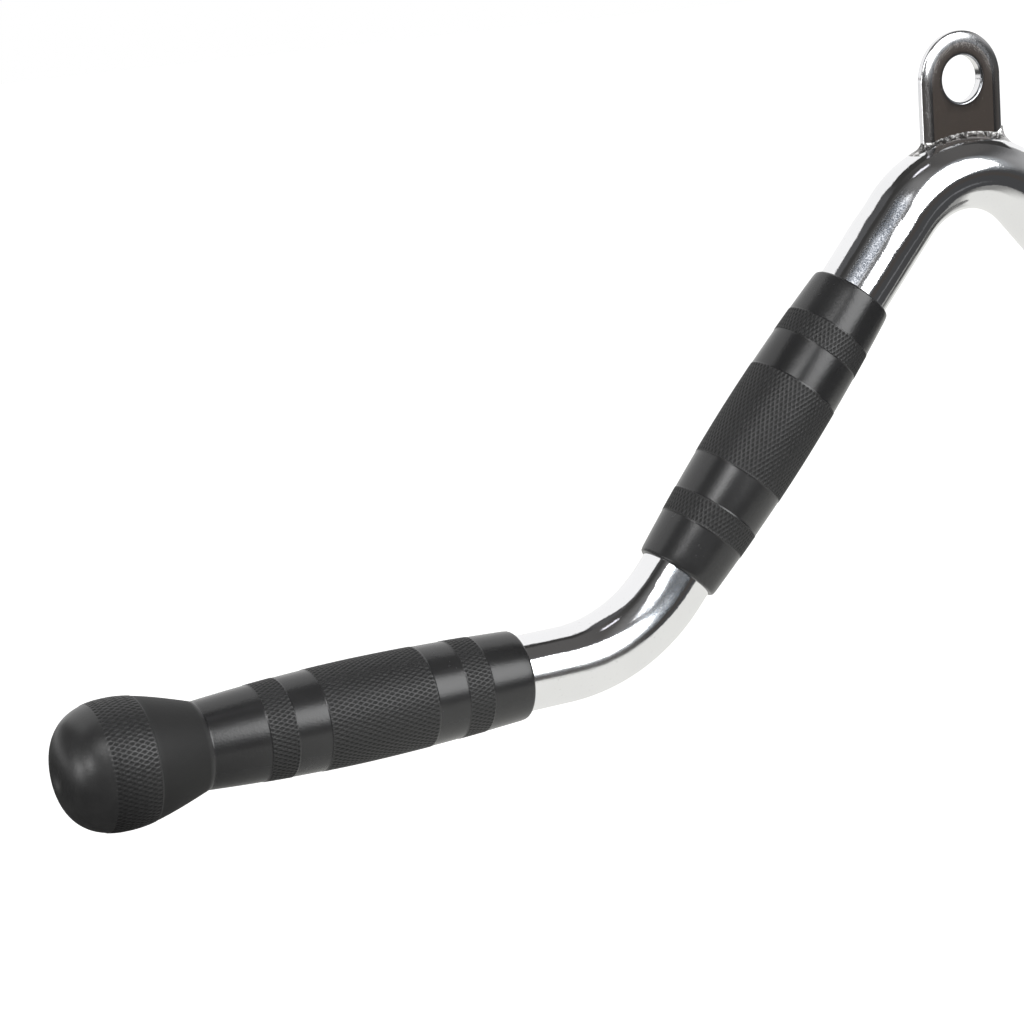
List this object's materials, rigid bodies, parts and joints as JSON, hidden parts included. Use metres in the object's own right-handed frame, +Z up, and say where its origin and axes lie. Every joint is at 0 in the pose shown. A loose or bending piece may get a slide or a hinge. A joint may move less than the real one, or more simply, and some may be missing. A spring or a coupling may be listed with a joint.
{
  "type": "cable ez bar",
  "caption": "W-shaped pulldown bar of bent round bar with a welded eye plate on its arch, rubber grips on its legs and bulb ends.",
  "frame": {"origin": "centre of the hole in the eye plate, halfway through the plate", "axes": "+X along the bar to its right end, +Z up out of the arch through the top of the eye plate, +Y to the back, square to the plane of the bar"},
  "size_m": [0.69, 0.0418, 0.2119],
  "materials": {
    "chrome": "polished",
    "weld_chrome": "chrome plated over an as-welded surface",
    "grip_rubber": "satin, with fine diamond knurl bands"
  },
  "bodies": {
    "root": {"bar": "chrome", "eye_plate": "chrome", "weld_front": "weld_chrome", "weld_rear": "weld_chrome", "inner_grip_left": "grip_rubber", "outer_grip_left": "grip_rubber", "inner_grip_right": "grip_rubber", "outer_grip_right": "grip_rubber"}
  },
  "joints": []
}
